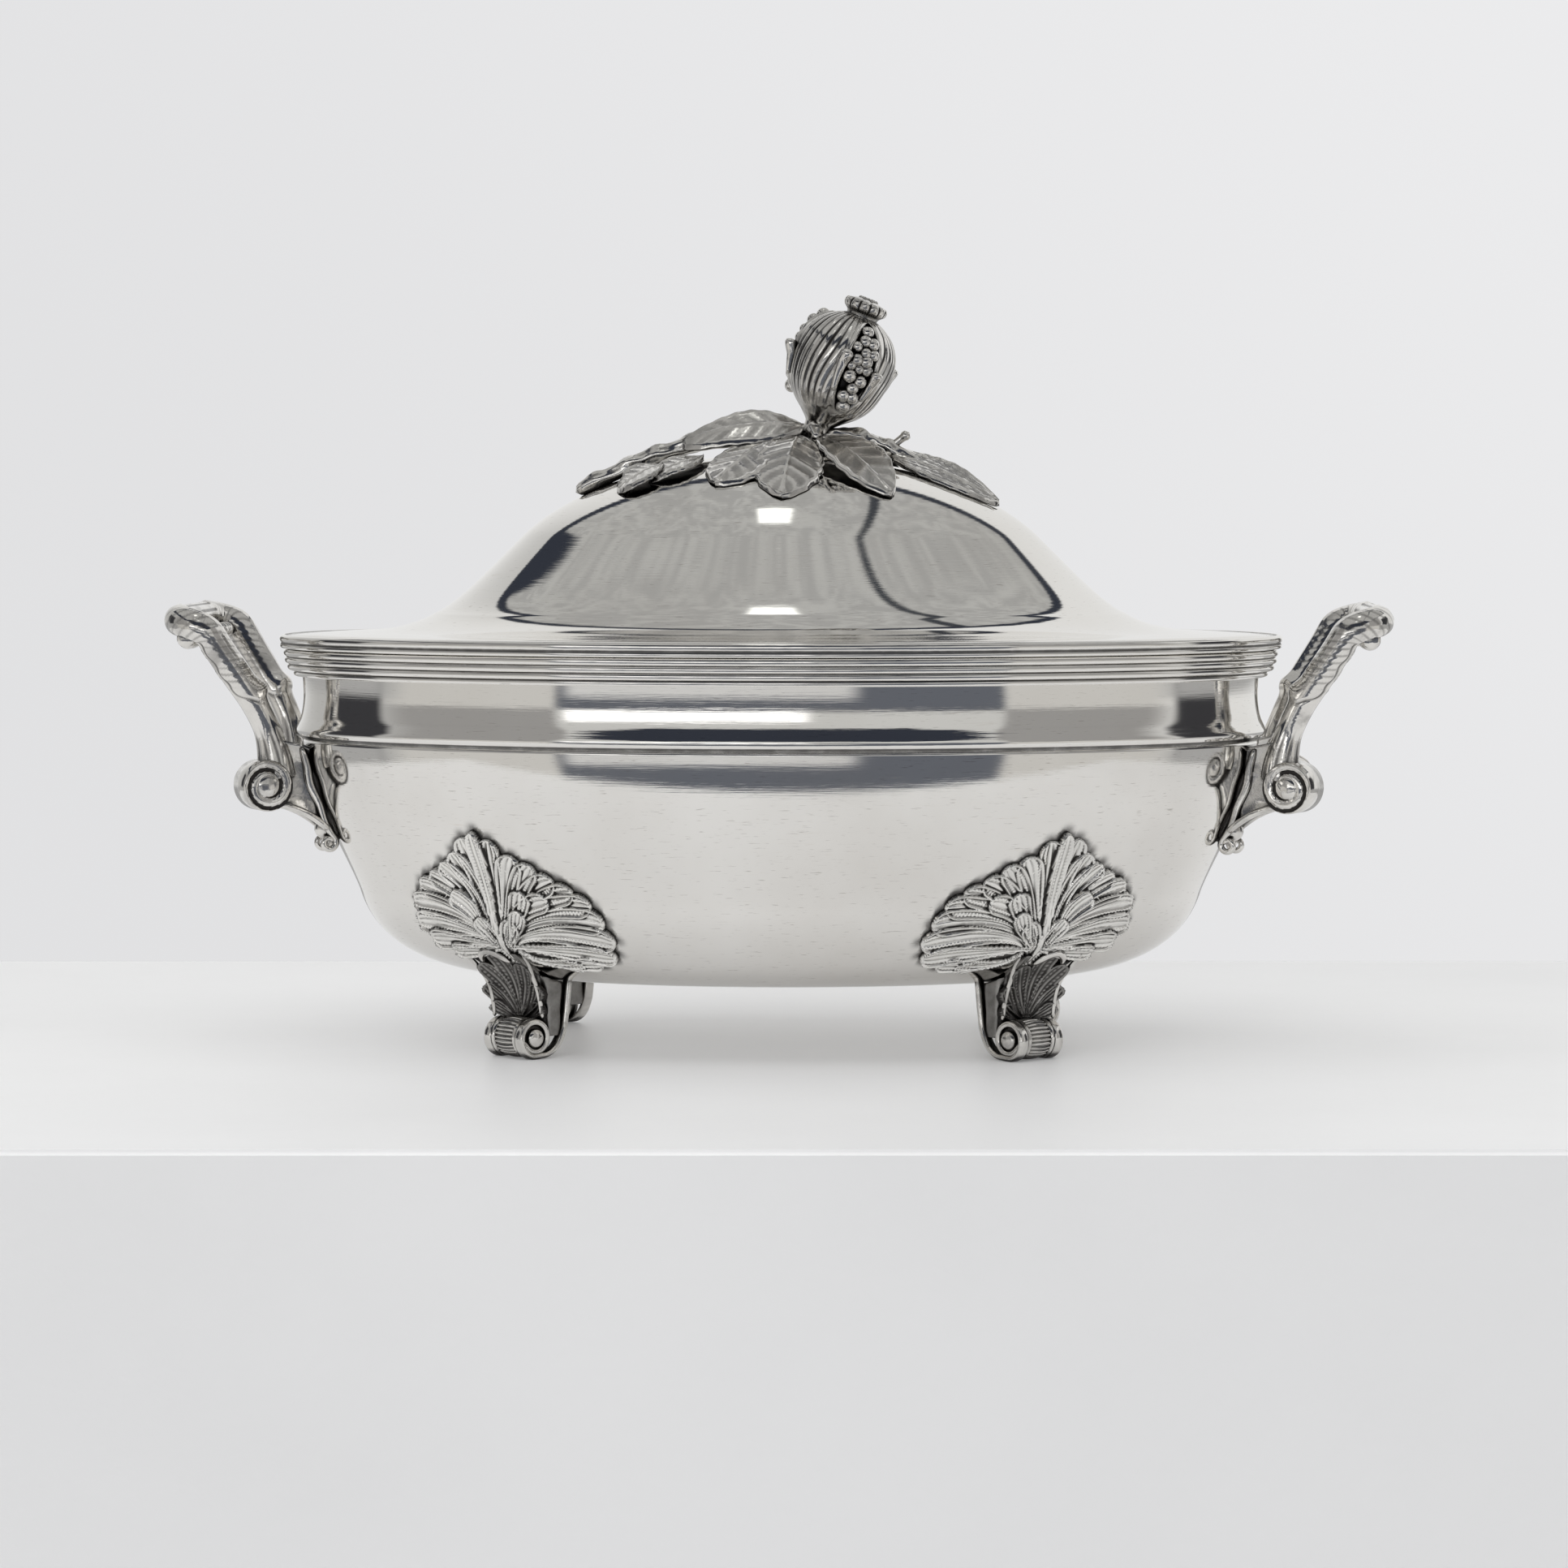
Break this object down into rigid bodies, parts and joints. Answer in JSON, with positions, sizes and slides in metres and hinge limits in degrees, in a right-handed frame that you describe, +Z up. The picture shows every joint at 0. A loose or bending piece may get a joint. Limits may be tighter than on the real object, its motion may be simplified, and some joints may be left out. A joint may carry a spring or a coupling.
{
  "type": "soup tureen",
  "caption": "Oval footed silver-plated soup tureen with loop handles and a domed lift-off lid topped by a pomegranate finial.",
  "frame": {"origin": "middle of the plane the feet stand on", "axes": "+X along the long axis between the handles, +Y across the bowl away from the viewer, +Z up"},
  "size_m": [0.3994, 0.2144, 0.2418],
  "materials": {
    "polished_silver": "polished silver plate, lightly scratched and tarnished",
    "cast_silver": "cast and chased silver plate with dark oxidised recesses",
    "fixings": "dull"
  },
  "bodies": {
    "bowl": {"bowl_shell": "polished_silver", "neck_band": "polished_silver", "waist_wire": "polished_silver", "rim_moulding": "polished_silver", "foot_front_left": "cast_silver", "foot_front_right": "cast_silver", "foot_back_left": "cast_silver", "foot_back_right": "cast_silver", "palmette_front_left": "cast_silver", "palmette_front_right": "cast_silver", "palmette_back_left": "cast_silver", "palmette_back_right": "cast_silver", "handle_loop_left": "polished_silver", "handle_loop_right": "polished_silver", "bracket_front_left": "cast_silver", "bracket_front_right": "cast_silver", "bracket_back_left": "cast_silver", "bracket_back_right": "cast_silver"},
    "lid": {"lid_shell": "polished_silver", "lid_edge": "polished_silver", "lid_bezel": "polished_silver", "finial_root": "cast_silver", "finial_fruit": "cast_silver", "finial_crown": "cast_silver", "twig_left": "cast_silver", "twig_right": "cast_silver", "finial_screw": "fixings", "finial_washer": "fixings", "finial_nut": "fixings", "leaf_1": "cast_silver", "leaf_2": "cast_silver", "leaf_3": "cast_silver", "leaf_4": "cast_silver", "leaf_5": "cast_silver", "leaf_6": "cast_silver", "leaf_7": "cast_silver", "leaf_8": "cast_silver", "leaf_9": "cast_silver"}
  },
  "joints": [
    {"name": "lid_lift", "type": "slide", "parent": "bowl", "child": "lid", "axis": [0, 0, 1], "range_m": [0, 0.15]}
  ]
}
